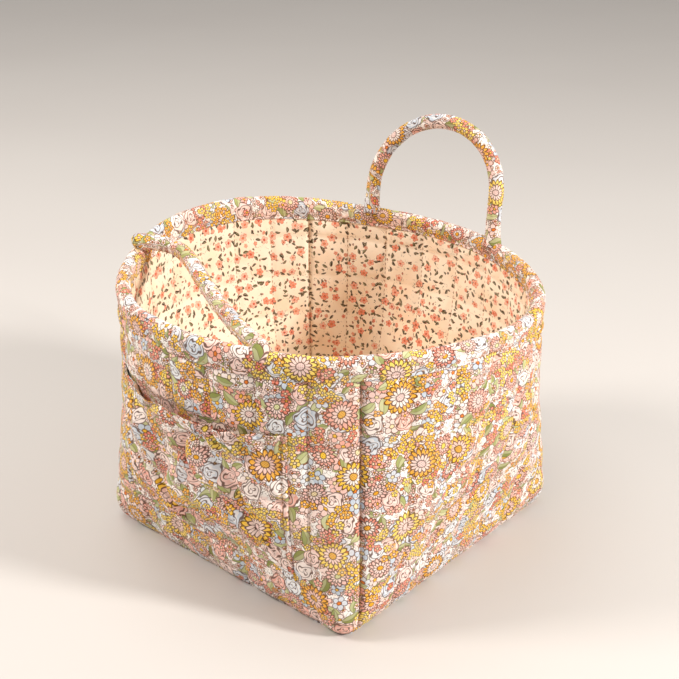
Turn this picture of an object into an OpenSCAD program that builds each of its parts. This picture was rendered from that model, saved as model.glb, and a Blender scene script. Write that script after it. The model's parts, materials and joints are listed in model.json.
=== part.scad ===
// Quilted cotton sewing basket: square base, round bound rim, two rope handles, patch pocket.
// Millimetres, +Z up, origin at the middle of the underside, front (pocket side) towards -Y.

/* [Basket] */
// Outside diameter of the bound rim
rim_d = 260; // [220:1:300]
// Height from the underside to the top of the rim
height = 174; // [150:1:210]
// Corner radius of the wall where it meets the base
corner_r = 8; // [7:0.5:14]
// How far the foot of the wall turns in to meet the base
foot_tuck = 4; // [0:0.5:6]
// Distance from each base corner to the upright seam beside it
seam_shift = 9; // [4:0.5:14]

/* [Cloth layers] */
// Thickness of one layer of quilting cotton
cotton_t = 0.7; // [0.5:0.1:1]
// Thickness of the wadding between the cottons
wadding_t = 3.4; // [2.5:0.1:4.5]

/* [Rim binding] */
// Depth of the binding on each side of the wall
binding_h = 14; // [10:1:18]
// Thickness of the folded binding cloth
binding_t = 1.1; // [0.8:0.1:1.4]

/* [Handles] */
// Diameter of the covered rope
rope_d = 10; // [8:0.5:11]
// Distance between the ends of the back handle
back_span = 96; // [80:1:120]
// Height of the back handle's arch above its pivots
back_rise = 58; // [50:1:90]
// How far round the rim the back handle is sewn from the middle of the back, degrees
back_turn = 6; // [0:1:12]
// How far the back handle leans out from upright, degrees
back_lean = 13; // [0:1:20]
// Distance between the ends of the front handle
front_span = 170; // [130:1:176]
// Height of the front handle's shallow arch above its pivots
front_rise = 16; // [12:1:40]
// How far round the rim the front handle is sewn from the middle of the front, degrees
front_turn = -17.5; // [-20:0.5:0]
// How far the front handle hangs below level, degrees
front_droop = 30; // [0:1:35]

/* [Pocket] */
// Width of the patch pocket
pocket_w = 140; // [90:1:150]
// Height of the patch pocket
pocket_h = 96; // [70:1:110]
// Height of the pocket's lower edge above the underside
pocket_low = 31; // [24:1:40]
// How far the middle of the pocket's mouth stands off the wall
pocket_sag = 2.2; // [1:0.1:3]

/* [Hidden] */

// Gap left between neighbouring pieces
gap = 0.1;
// Angle step of the round parts
$fn = 96;
// Thread radius
thread_r = 0.35;

// The wall: outside radius under the binding, length round, and layer depths
wall_r = rim_d / 2 - binding_t - gap;
wall_len = 2 * PI * wall_r;
wadding_in = cotton_t + gap;
lining_in = wadding_in + wadding_t + gap;
wall_t = lining_in + cotton_t;
wall_top = height - 2.4;
wall_foot = cotton_t + gap;
// Height at which the wall has become fully round, and how quickly it gets there
round_top = height - binding_h - 4;
round_rate = 1.3;
tuck_h = 18;
// A square with rounded corners is this much times its corner radius shorter than a sharp one
corner_cut = 8 - 2 * PI;
// Half of the mesh columns on one side of the wall, and its rows
side_cols = 9;
wall_rows = 9;
row_rate = 1.35;
// Smallest share of the wall length between two mesh columns
col_tol = 0.003;

// The rim binding's section: middle radius and half width
rim_half = (2 * binding_t + wall_t + 4 * gap) / 2;
rim_mid = rim_d / 2 - rim_half;
rim_inner = rim_d / 2 - 2 * rim_half;
arch_z = height - rim_half;

// The handles: pivot height, core radius, and the flat cut across each end
rope_r = rope_d / 2;
cover_t = 0.7;
core_r = rope_r - cover_t - gap;
pivot_lift = 6.9;
pivot_z = height + pivot_lift;
end_cut = 3.6;
// Extra radius of the gathered knob at each end
end_swell = 0.2;
// The necks: how steeply their tops fall away to clear a handle that hangs down
neck_r = 4.6;
neck_drop = 5.9;
neck_slope = 0.47;
neck_skirt = 4;

// The pocket's layers, measured out from the wall
pocket_gap = 0.2;
pocket_cloth = 0.7;
pocket_cols = 14;
pocket_rows = 8;
pocket_seam = 3;

// ---- shape of the wall ----
// 0 at the base, 1 where the wall is fully round
function roundness(z) = pow(sin(90 * min(z / round_top, 1)), round_rate);
function corner_at(z) = corner_r + (wall_r - corner_r) * roundness(z);
function tuck_at(z) = foot_tuck * pow(max(1 - z / tuck_h, 0), 2);
// Half width across the flats
function half_at(z) = (wall_len + corner_cut * corner_at(z)) / 8 - tuck_at(z);

function turned(p, a) = [p.x * cos(a) - p.y * sin(a), p.x * sin(a) + p.y * cos(a)];

// Foot point and outward direction on the front side, a share q of the way round from its middle
function side_angle(q, half, corner) =
    let(s = q * (8 * half - corner_cut * corner), flat = half - corner)
    abs(s) <= flat ? 0 : sign(s) * (abs(s) - flat) / corner * 180 / PI;
function side_point(q, half, corner) =
    let(a = side_angle(q, half, corner),
        flat = half - corner,
        s = q * (8 * half - corner_cut * corner))
    a == 0 ? [s, -half] : [sign(a) * flat + corner * sin(a), -flat - corner * cos(a)];

// Point on the wall: u is the share of the way round, inset is how far inside the outer face
function wall_point(u, z, inset) =
    let(side = floor((u + 1 / 8) * 4),
        q = u - side / 4,
        half = half_at(z),
        corner = corner_at(z),
        a = side_angle(q, half, corner),
        p = side_point(q, half, corner) - inset * [sin(a), -cos(a)],
        t = turned(p, 90 * side))
    [t.x, t.y, z];

// Mesh columns from lo to hi, closest together at the corners
function wall_columns(lo, hi) = concat(
    [lo],
    [for (side = [-1:4], j = [1 - side_cols:side_cols])
        let(u = side / 4 + sin(90 * j / side_cols) / 8)
        if (u > lo + col_tol && u < hi - col_tol) u],
    [hi]);
function wall_heights() =
    [for (k = [0:wall_rows]) wall_foot + (wall_top - wall_foot) * pow(k / wall_rows, row_rate)];

// ---- a closed slab between two grids of points with the same layout ----
function slab_faces(cols, rows) =
    let(n = cols * rows)
    concat(
        [for (j = [0:rows - 2], i = [0:cols - 2], h = [0, 1])
            let(a = j * cols + i, b = a + 1, c = a + cols + 1, d = a + cols)
            h == 0 ? [a, c, b] : [a, d, c]],
        [for (j = [0:rows - 2], i = [0:cols - 2], h = [0, 1])
            let(a = n + j * cols + i, b = a + 1, c = a + cols + 1, d = a + cols)
            h == 0 ? [a, b, c] : [a, c, d]],
        [for (i = [0:cols - 2], h = [0, 1])
            h == 0 ? [i, i + 1, n + i + 1] : [i, n + i + 1, n + i]],
        [for (i = [0:cols - 2], h = [0, 1])
            let(a = (rows - 1) * cols + i)
            h == 0 ? [a, n + a + 1, a + 1] : [a, n + a, n + a + 1]],
        [for (j = [0:rows - 2], h = [0, 1])
            let(a = j * cols, d = a + cols)
            h == 0 ? [a, n + d, d] : [a, n + a, n + d]],
        [for (j = [0:rows - 2], h = [0, 1])
            let(a = j * cols + cols - 1, d = a + cols)
            h == 0 ? [a, d, n + d] : [a, n + d, n + a]]);

module wall_panel(side, inset, thick) {
    lo = side / 4 - 1 / 8 + seam_shift / wall_len;
    us = wall_columns(lo, lo + 1 / 4 - gap / wall_len);
    zs = wall_heights();
    outer = [for (z = zs, u = us) wall_point(u, z, inset)];
    inner = [for (z = zs, u = us) wall_point(u, z, inset + thick)];
    polyhedron(concat(outer, inner), slab_faces(len(us), len(zs)), convexity = 6);
}

module outer_panel(side) {
    color("lightpink") wall_panel(side, 0, cotton_t);
}

module wadding_panel(side) {
    color("white") wall_panel(side, wadding_in, wadding_t);
}

module lining_panel(side) {
    color("bisque") wall_panel(side, lining_in, cotton_t);
}

// ---- base ----
module rounded_square(half, corner) {
    square([2 * half, 2 * (half - corner)], center = true);
    square([2 * (half - corner), 2 * half], center = true);
    for (x = [-1, 1], y = [-1, 1])
        translate([x * (half - corner), y * (half - corner)]) circle(corner);
}

module base_layer(inset, low, thick) {
    translate([0, 0, low])
        linear_extrude(thick)
            rounded_square(half_at(0) - inset, corner_at(0) - inset);
}

module base_outer() {
    color("lightpink") base_layer(0, 0, cotton_t);
}

module base_wadding() {
    color("white") base_layer(wall_t + 3 * gap, wadding_in, wadding_t);
}

module base_lining() {
    color("bisque") base_layer(wall_t + 3 * gap, lining_in, cotton_t);
}

// ---- rim ----
module binding_outline() {
    translate([rim_inner, height - binding_h]) square([2 * rim_half, binding_h - rim_half]);
    translate([rim_mid, arch_z]) circle(rim_half);
}

module rim_binding() {
    color("lightpink")
        rotate_extrude()
            difference() {
                binding_outline();
                translate([rim_inner + binding_t, height - binding_h - 1])
                    square([2 * (rim_half - binding_t), wall_top + gap - height + binding_h + 1]);
            }
}

module thread_ring(r) {
    translate([0, 0, height - binding_h + 2])
        rotate_extrude() translate([r, 0]) circle(thread_r, $fn = 16);
}

module binding_thread() {
    color("indianred") {
        thread_ring(rim_d / 2 + thread_r + gap / 4);
        thread_ring(rim_inner - thread_r - gap / 4);
    }
}

// ---- pocket ----
function pocket_bulge(s, z) =
    pocket_sag * (1 - pow(2 * s / pocket_w, 2)) * sin(90 * (z - pocket_low) / pocket_h);

// Point a distance s along the front from its middle, lifted off the wall
function pocket_point(s, z, lift) =
    wall_point(s / wall_len, z, -(lift + pocket_bulge(s, z)));

module pocket_layer(lift) {
    ss = [for (i = [0:pocket_cols]) pocket_w * (i / pocket_cols - 1 / 2)];
    zs = [for (j = [0:pocket_rows]) pocket_low + pocket_h * j / pocket_rows];
    outer = [for (z = zs, s = ss) pocket_point(s, z, lift + pocket_cloth)];
    inner = [for (z = zs, s = ss) pocket_point(s, z, lift)];
    polyhedron(concat(outer, inner), slab_faces(len(ss), len(zs)), convexity = 4);
}

module pocket_front() {
    color("lightpink") pocket_layer(pocket_gap + pocket_cloth + gap);
}

module pocket_lining() {
    color("bisque") pocket_layer(pocket_gap);
}

// The stitch line down one side of the pocket, along its foot and up the other side
function pocket_line() =
    let(side = pocket_w / 2 - pocket_seam, low = pocket_low + pocket_seam, high = pocket_low + pocket_h - 1)
    concat([for (k = [0:9]) [-side, high + (low - high) * k / 10]],
           [for (k = [0:15]) [side * (k / 8 - 1), low]],
           [for (k = [0:10]) [side, low + (high - low) * k / 10]]);

module swept_thread(path, r, sides) {
    last = len(path) - 1;
    rings = [for (i = [0:last])
        let(along = path[min(i + 1, last)] - path[max(i - 1, 0)],
            out = [path[i].x, path[i].y, 0] / norm([path[i].x, path[i].y]),
            over = cross(along, out) / norm(cross(along, out)))
        for (k = [0:sides - 1])
            path[i] + r * (cos(360 * k / sides) * out + sin(360 * k / sides) * over)];
    walls = [for (i = [0:last - 1], k = [0:sides - 1], h = [0, 1])
        let(a = i * sides + k, b = i * sides + (k + 1) % sides, c = b + sides, d = a + sides)
        h == 0 ? [a, b, c] : [a, c, d]];
    first_cap = [[for (k = [0:sides - 1]) sides - 1 - k]];
    last_cap = [[for (k = [0:sides - 1]) last * sides + k]];
    polyhedron(rings, concat(walls, first_cap, last_cap), convexity = 4);
}

module pocket_thread() {
    lift = pocket_gap + 2 * pocket_cloth + gap + thread_r + gap;
    color("indianred")
        swept_thread([for (p = pocket_line()) pocket_point(p.x, p.y, lift)], thread_r, 6);
}

// ---- handles, drawn standing up with the pivots on the X axis ----
module back_arch(r) {
    half = back_span / 2;
    leg = back_rise - half;
    for (x = [-half, half])
        translate([x, 0, 0]) {
            sphere(r + end_swell);
            cylinder(leg, r, r);
        }
    translate([0, 0, leg])
        rotate([90, 0, 0])
            rotate_extrude(angle = 180) translate([half, 0]) circle(r);
}

module front_arch(r) {
    half = front_span / 2;
    bow_r = (half * half + front_rise * front_rise) / (2 * front_rise);
    bow_a = asin(half / bow_r);
    for (x = [-half, half])
        translate([x, 0, 0]) sphere(r + end_swell);
    translate([0, 0, front_rise - bow_r])
        rotate([90, 0, 0])
            rotate([0, 0, 90 - bow_a])
                rotate_extrude(angle = 2 * bow_a) translate([bow_r, 0]) circle(r);
}

// Everything below the flat cut across the ends of a handle
module below_ends() {
    translate([-rim_d, -rim_d, -rim_d - end_cut]) cube([2 * rim_d, 2 * rim_d, rim_d]);
}

module on_back() {
    rotate([0, 0, back_turn])
        translate([0, sqrt(pow(rim_mid, 2) - pow(back_span / 2, 2)), pivot_z])
            children();
}

module on_back_leaning() {
    on_back() rotate([-back_lean, 0, 0]) children();
}

module on_front() {
    rotate([0, 0, front_turn])
        translate([0, -sqrt(pow(rim_mid, 2) - pow(front_span / 2, 2)), pivot_z])
            children();
}

module on_front_hanging() {
    on_front() rotate([-90 - front_droop, 0, 0]) children();
}

module back_handle_cover() {
    color("lightpink") on_back_leaning() difference() {
        back_arch(rope_r);
        back_arch(rope_r - cover_t);
        below_ends();
    }
}

module back_handle_rope() {
    color("ivory") on_back_leaning() difference() {
        back_arch(core_r);
        below_ends();
    }
}

module front_handle_cover() {
    color("lightpink") on_front_hanging() difference() {
        front_arch(rope_r);
        front_arch(rope_r - cover_t);
        below_ends();
    }
}

module front_handle_rope() {
    color("ivory") on_front_hanging() difference() {
        front_arch(core_r);
        below_ends();
    }
}

// The gathered end of the cover that saddles the rim below each pivot
module necks(span) {
    shoulder = -neck_drop - neck_slope * neck_r;
    foot = -pivot_lift - neck_skirt;
    for (x = [-span / 2, span / 2])
        translate([x, 0, 0]) {
            translate([0, 0, shoulder]) cylinder(neck_slope * neck_r, neck_r, 0.6);
            translate([0, 0, foot]) cylinder(shoulder - foot, neck_r, neck_r);
        }
}

module rim_room() {
    rotate_extrude() {
        translate([rim_inner - gap / 2, height - binding_h])
            square([2 * rim_half + gap, binding_h - rim_half]);
        translate([rim_mid, arch_z]) circle(rim_half + gap / 2);
    }
}

module back_handle_necks() {
    color("lightpink") difference() {
        on_back() necks(back_span);
        rim_room();
    }
}

module front_handle_necks() {
    color("lightpink") difference() {
        on_front() necks(front_span);
        rim_room();
    }
}

// Bars of tight stitching through the binding under each handle end
module tacks(span) {
    for (x = [-1, 1])
        rotate([0, 0, x * asin(span / 2 / rim_mid)])
            for (row = [0:2])
                translate([-4, -(rim_inner - thread_r - gap / 2), height - binding_h + 4 + 2 * row])
                    rotate([0, 90, 0]) cylinder(8, thread_r, thread_r, $fn = 24);
}

module handle_tacks() {
    color("indianred") {
        rotate([0, 0, 180 + back_turn]) tacks(back_span);
        rotate([0, 0, front_turn]) tacks(front_span);
    }
}

outer_panel(0);  // outer_front
outer_panel(1);  // outer_right
outer_panel(2);  // outer_back
outer_panel(3);  // outer_left
wadding_panel(0);  // wadding_front
wadding_panel(1);  // wadding_right
wadding_panel(2);  // wadding_back
wadding_panel(3);  // wadding_left
lining_panel(0);  // lining_front
lining_panel(1);  // lining_right
lining_panel(2);  // lining_back
lining_panel(3);  // lining_left
base_outer();
base_wadding();
base_lining();
rim_binding();
binding_thread();
pocket_front();
pocket_lining();
pocket_thread();
back_handle_cover();
back_handle_rope();
back_handle_necks();
front_handle_cover();
front_handle_rope();
front_handle_necks();
handle_tacks();
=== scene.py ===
import json
import math

import bmesh
import bpy
import numpy as np
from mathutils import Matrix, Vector


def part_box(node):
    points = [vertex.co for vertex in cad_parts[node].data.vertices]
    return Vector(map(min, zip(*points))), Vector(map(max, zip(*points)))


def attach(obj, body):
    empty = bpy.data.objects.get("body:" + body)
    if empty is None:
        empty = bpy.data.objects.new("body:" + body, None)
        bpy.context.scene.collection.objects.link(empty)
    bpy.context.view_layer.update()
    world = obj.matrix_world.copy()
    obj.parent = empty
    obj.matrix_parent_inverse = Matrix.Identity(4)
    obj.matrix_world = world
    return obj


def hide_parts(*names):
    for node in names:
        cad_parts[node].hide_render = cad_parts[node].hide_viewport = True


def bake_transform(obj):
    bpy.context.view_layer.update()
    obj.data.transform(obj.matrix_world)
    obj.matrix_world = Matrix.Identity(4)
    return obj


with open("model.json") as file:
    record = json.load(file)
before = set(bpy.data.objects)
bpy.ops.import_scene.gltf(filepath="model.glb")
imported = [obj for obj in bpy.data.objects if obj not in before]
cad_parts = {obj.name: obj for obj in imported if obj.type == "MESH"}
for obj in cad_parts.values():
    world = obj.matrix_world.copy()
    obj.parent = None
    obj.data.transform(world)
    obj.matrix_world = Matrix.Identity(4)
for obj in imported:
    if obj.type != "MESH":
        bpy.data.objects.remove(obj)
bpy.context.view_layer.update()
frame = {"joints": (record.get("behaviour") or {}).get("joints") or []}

MM = 0.001
TAU = 2 * math.pi

# ------------ sizes from the frame, metres
rim_lo, rim_hi = (Vector(p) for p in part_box("rim_binding"))
wall_lo, wall_hi = (Vector(p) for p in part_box("outer_right"))
pocket_lo, pocket_hi = (Vector(p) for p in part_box("pocket_front"))
lining_hi = Vector(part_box("lining_right")[1])
JOINTS = {joint["name"]: joint for joint in frame["joints"]}
UP = np.array([0, 0, 1.0])
ASLANT = np.array([0.13, 0.2, 1.0])  # a direction that no part of a handle runs along

CLOTH_T = 0.5 * MM
COTTON_T = 0.7 * MM
RIM_R = rim_hi.x
RIM_TOP = rim_hi.z
BINDING_LOW = rim_lo.z
BINDING_STITCH = BINDING_LOW + 2 * MM
WALL_R = wall_hi.x
WALL_TOP = wall_hi.z
WALL_FOOT = wall_lo.z
WALL_LEN = TAU * WALL_R
WALL_T = WALL_R - lining_hi.x + COTTON_T
RIM_HALF = (RIM_R - WALL_R) + WALL_T / 2
RIM_MID = RIM_R - RIM_HALF

# The base's corners, and how the walls round out of them
CORNER_R = 8 * MM
FOOT_TUCK = 4 * MM
TUCK_H = 18 * MM
ROUND_TOP = BINDING_LOW - 4 * MM
ROUND_RATE = 1.3
SEAM_SHIFT = 9 * MM
CORNER_CUT = 8 - TAU  # what rounding the four corners takes off a square's edge, in radii

# Quilting: 28 squares round, rows every 29.5 mm
COLUMNS = 28
ROW = 29.5 * MM
ROW_LINES = [ROW * k for k in range(6)] + [BINDING_LOW + 1 * MM]
PUFF_OUTSIDE = 2.6 * MM
PUFF_INSIDE = 1.7 * MM
CHANNEL_DEEP = 0.7 * MM
SIDES = ("front", "right", "back", "left")


# ------------ smooth noise
def lattice(i, j, seed):
    h = np.sin(i * 127.1 + j * 311.7 + seed * 74.7) * 43758.5453
    return h - np.floor(h)


def noise(x, y, seed=0):
    """Smooth noise between -1 and 1 with features one unit across."""
    x, y = np.asarray(x, float), np.asarray(y, float)
    i, j = np.floor(x), np.floor(y)
    fx, fy = x - i, y - j
    fx, fy = fx * fx * (3 - 2 * fx), fy * fy * (3 - 2 * fy)
    low = lattice(i, j, seed) * (1 - fx) + lattice(i + 1, j, seed) * fx
    high = lattice(i, j + 1, seed) * (1 - fx) + lattice(i + 1, j + 1, seed) * fx
    return 2 * (low * (1 - fy) + high * fy) - 1


def crumple(x, y, seed=0):
    """Sharp-crested noise, like the small folds of washed cotton."""
    first = 1 - np.abs(noise(x, y, seed))
    second = 1 - np.abs(noise(2.1 * x + 5, 2.1 * y - 3, seed + 1))
    return first * first + 0.5 * second * second - 0.75


def creases(x, y, seed=0):
    """Narrow valleys between soft swellings, like cloth that has been squeezed."""
    return -(1 - np.abs(noise(x, y, seed))) ** 5


# ------------ the wall's surface
def corner_at(z):
    """Radius of the wall's rounded corners at a height: a circle from ROUND_TOP up."""
    round_share = np.sin(math.pi / 2 * np.clip(z / ROUND_TOP, 0, 1)) ** ROUND_RATE
    return CORNER_R + (WALL_R - CORNER_R) * round_share


def half_at(z):
    """Half the width across the wall's flat sides at a height."""
    tuck = FOOT_TUCK * np.clip(1 - z / TUCK_H, 0, 1) ** 2
    return (WALL_LEN + CORNER_CUT * corner_at(z)) / 8 - tuck


def wall_frame(u, z):
    """Foot point and outward direction of the wall: u is the share of the way round from the
    middle of the front, z the height."""
    u, z = np.broadcast_arrays(u, z)
    side = np.floor((u + 1 / 8) * 4)
    q = u - side / 4
    half, corner = half_at(z), corner_at(z)
    flat = half - corner
    s = q * (8 * half - CORNER_CUT * corner)
    a = np.sign(s) * np.maximum(np.abs(s) - flat, 0) / corner
    x = np.clip(s, -flat, flat) + corner * np.sin(a)
    y = -flat - corner * np.cos(a)
    nx, ny = np.sin(a), -np.cos(a)
    t = side * math.pi / 2
    c, sn = np.cos(t), np.sin(t)
    foot = np.stack([x * c - y * sn, x * sn + y * c, z], -1)
    out = np.stack([nx * c - ny * sn, nx * sn + ny * c, np.zeros_like(z)], -1)
    return foot, out


# The soft rim's rise and fall: waves round the rim, size in mm, where the wave starts in degrees
RIM_WAVES = ((0, -1.3, 0), (1, 7.6, 152), (2, 3.0, 55), (3, 0.8, 149), (4, 1.1, 47))


def rim_rise(u):
    """How far the soft rim stands above its level height. It is lowest at the back right."""
    turn = TAU * np.asarray(u, float) - math.pi / 2
    return MM * sum(size * np.cos(k * turn + math.radians(phase)) for k, size, phase in RIM_WAVES)


def share_of_rise(z):
    """How much of the rim's rise a height follows: nothing at the foot, all of it at the rim."""
    return np.clip(z / RIM_TOP, 0, 1) ** 2.2


def sway(u, z):
    """How far the soft wall leans out of its true shape at each place."""
    rise = np.clip(z / RIM_TOP, 0, 1) ** 1.5
    turn = TAU * u
    slow = 0.9 * np.cos(2 * turn + 0.7) + 0.8 * np.cos(3 * turn - 1.1) + 0.5 * np.cos(5 * turn + 2)
    bumps = 1.1 * noise(u * 14, z / 0.05, 3) * np.clip(z / 0.03, 0, 1)
    return MM * (slow * rise + bumps * (1 - 0.6 * rise))


def wall_surface(u, z, lift):
    """Points on the soft wall, lift metres outside its true shape."""
    u, z = np.broadcast_arrays(u, z)
    foot, out = wall_frame(u, z)
    place = foot + out * (np.asarray(lift) + sway(u, z))[..., None]
    place[..., 2] += rim_rise(u) * share_of_rise(z)
    return place


# ------------ mesh building
def add_object(name, data):
    obj = bpy.data.objects.new(name, data)
    bpy.context.scene.collection.objects.link(obj)
    return obj


def new_object(name, verts, faces, cloth=None):
    """A smooth mesh. cloth is each point's place on the flat cloth, in metres, for its print."""
    mesh = bpy.data.meshes.new(name)
    mesh.from_pydata(np.asarray(verts).tolist(), [], faces)
    mesh.polygons.foreach_set("use_smooth", [True] * len(mesh.polygons))
    if cloth is not None:
        layer = mesh.attributes.new("cloth", "FLOAT_VECTOR", "POINT")
        layer.data.foreach_set("vector", np.pad(cloth, ((0, 0), (0, 1))).ravel())
    mesh.update()
    return add_object(name, mesh)


def grid_faces(rows, cols, start=0, flip=False):
    """Faces over a grid of points, the first of which is number start."""
    faces = []
    for j in range(rows - 1):
        for i in range(cols - 1):
            a = start + j * cols + i
            quad = (a, a + 1, a + cols + 1, a + cols)
            faces.append(quad[::-1] if flip else quad)
    return faces


def slab(name, top, under, cloth):
    """A closed sheet between two grids of points. top is the face that shows."""
    rows, cols = top.shape[:2]
    n = rows * cols
    faces = grid_faces(rows, cols) + grid_faces(rows, cols, n, flip=True)
    ring = list(range(cols))
    ring += [j * cols + cols - 1 for j in range(1, rows)]
    ring += [n - 1 - i for i in range(1, cols)]
    ring += [j * cols for j in range(rows - 2, 0, -1)]
    for a, b in zip(ring, ring[1:] + ring[:1]):
        faces.append((b, a, n + a, n + b))
    verts = np.concatenate([top.reshape(-1, 3), under.reshape(-1, 3)])
    flat = cloth.reshape(-1, 2)
    return new_object(name, verts, faces, np.concatenate([flat, flat]))


def unit(v):
    """Vectors made one unit long."""
    return v / np.maximum(np.linalg.norm(v, axis=-1, keepdims=True), 1e-12)


def length_along(path):
    """Distance from the start of a path to each of its points."""
    return np.concatenate([[0], np.cumsum(np.linalg.norm(np.diff(path, axis=0), axis=1))])


def tube(name, path, radius, sides, cloth_start=0.0, wrinkle=0.0, seed=0, wall=0.0):
    """A closed tube along a path, hollow when it has a wall. radius has one number per point."""
    radius = np.broadcast_to(radius, (len(path),))[:, None]
    along = unit(np.gradient(path, axis=0))
    first = unit(np.cross(along, ASLANT))
    second = np.cross(first, along)
    run = length_along(path)[:, None]
    angle = np.linspace(0, TAU, sides + 1)[None, :]
    bump = wrinkle * crumple(run / 0.006 + 2 * np.sin(angle), 2 * np.cos(angle) + run / 0.02, seed)
    ring = (np.cos(angle)[..., None] * first[:, None, :]
            + np.sin(angle)[..., None] * second[:, None, :])
    centre = path[:, None, :]
    outer = centre + (radius + bump)[..., None] * ring
    cloth = np.stack(np.broadcast_arrays(cloth_start + run, angle * float(np.median(radius))), -1)
    if wall:
        inner = centre + np.maximum(radius + bump - wall, 0)[..., None] * ring
        obj = slab(name, outer, inner, cloth)
    else:
        centre = np.broadcast_to(centre, outer.shape)
        outer = np.concatenate([centre[:1], outer, centre[-1:]])
        cloth = np.concatenate([cloth[:1], cloth, cloth[-1:]])
        faces = grid_faces(*outer.shape[:2])
        obj = new_object(name, outer.reshape(-1, 3), faces, cloth.reshape(-1, 2))
    weld(obj)
    clean(obj)
    return obj


def clean(obj):
    """Clear the flat wall left inside a closed tube where it meets itself, and face everything
    outwards."""
    mesh = bmesh.new()
    mesh.from_mesh(obj.data)
    spare = [face for face in mesh.faces
             if sum(len(edge.link_faces) > 2 for edge in face.edges) > 1]
    bmesh.ops.delete(mesh, geom=spare, context="FACES")
    bmesh.ops.dissolve_degenerate(mesh, dist=1e-7, edges=mesh.edges)
    bmesh.ops.recalc_face_normals(mesh, faces=mesh.faces)
    mesh.to_mesh(obj.data)
    mesh.free()


def weld(obj, distance=1e-6):
    """Joins the points that lie on each other."""
    mod = obj.modifiers.new("weld", "WELD")
    mod.merge_threshold = distance
    graph = bpy.context.evaluated_depsgraph_get()
    mesh = bpy.data.meshes.new_from_object(obj.evaluated_get(graph))
    obj.modifiers.clear()
    obj.data = mesh


# ------------ shader building
def feed(tree, item, slot):
    """Joins a number or an output to a node's input, or sets the input to a plain value."""
    if isinstance(item, Val):
        item = item.socket
    if isinstance(item, bpy.types.NodeSocket):
        tree.links.new(item, slot)
    else:
        slot.default_value = item


def math_node(kind):
    """A method that adds one Math node."""
    def method(self, *others):
        return self.op(kind, *others)
    return method


class Val:
    """A number in a node tree. Arithmetic on it adds Math nodes."""

    def __init__(self, tree, socket):
        self.tree = tree
        self.socket = socket

    def op(self, kind, *others):
        n = self.tree.nodes.new("ShaderNodeMath")
        n.operation = kind
        for slot, item in zip(n.inputs, (self,) + others):
            feed(self.tree, item, slot)
        return Val(self.tree, n.outputs[0])

    __add__ = __radd__ = math_node("ADD")
    __mul__ = __rmul__ = math_node("MULTIPLY")
    __sub__ = math_node("SUBTRACT")
    __truediv__ = math_node("DIVIDE")
    power = math_node("POWER")
    sin = math_node("SINE")
    cos = math_node("COSINE")
    abs = math_node("ABSOLUTE")
    fract = math_node("FRACT")
    low = math_node("MINIMUM")
    high = math_node("MAXIMUM")
    angle = math_node("ARCTAN2")

    def __rsub__(self, other):
        return (self * -1) + other

    def step(self, lo, hi):
        """0 below lo, 1 above hi, smooth between them."""
        n = self.tree.nodes.new("ShaderNodeMapRange")
        n.interpolation_type = "SMOOTHSTEP"
        for name, item in (("Value", self), ("From Min", lo), ("From Max", hi)):
            feed(self.tree, item, n.inputs[name])
        return Val(self.tree, n.outputs["Result"])

    def inside(self, edge, soft):
        """1 where this is under the edge, fading over soft."""
        return 1 - (self - edge).step(-soft, soft)

    def line(self, width, soft):
        """1 where this is near 0, within width."""
        return self.abs().inside(width, soft)


def length(x, y):
    return (x * x + y * y).power(0.5)


def colour(hex_text):
    """Linear colour of an sRGB hex code."""
    parts = [int(hex_text[k:k + 2], 16) / 255 for k in (0, 2, 4)]
    return [c / 12.92 if c <= 0.04045 else ((c + 0.055) / 1.055) ** 2.4 for c in parts] + [1]


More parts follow.
